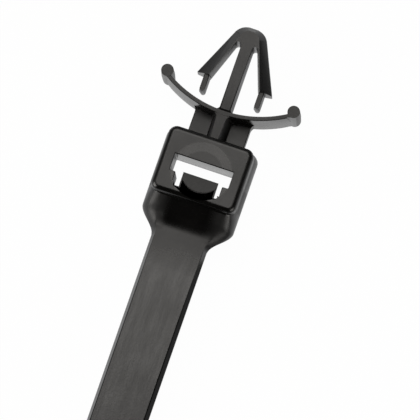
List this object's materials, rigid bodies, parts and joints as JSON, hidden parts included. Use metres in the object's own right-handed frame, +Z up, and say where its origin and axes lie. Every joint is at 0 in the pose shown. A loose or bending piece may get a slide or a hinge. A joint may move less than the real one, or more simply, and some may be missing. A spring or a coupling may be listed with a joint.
{
  "type": "push mount cable tie",
  "caption": "Black moulded cable tie with a flat toothed strap, a slotted head with a pawl, and a sprung wing with a barbed arrow that snaps into a panel hole.",
  "frame": {"origin": "centre of the part's footprint, on the surface it lies on", "axes": "+Y along the strap from tail to arrow, +X across the strap, +Z up out of the head's face"},
  "size_m": [0.012, 0.1908, 0.0048],
  "materials": {
    "nylon": "black moulded nylon with a fine satin surface"
  },
  "bodies": {
    "root": {"cable_tie": "nylon"}
  },
  "joints": []
}
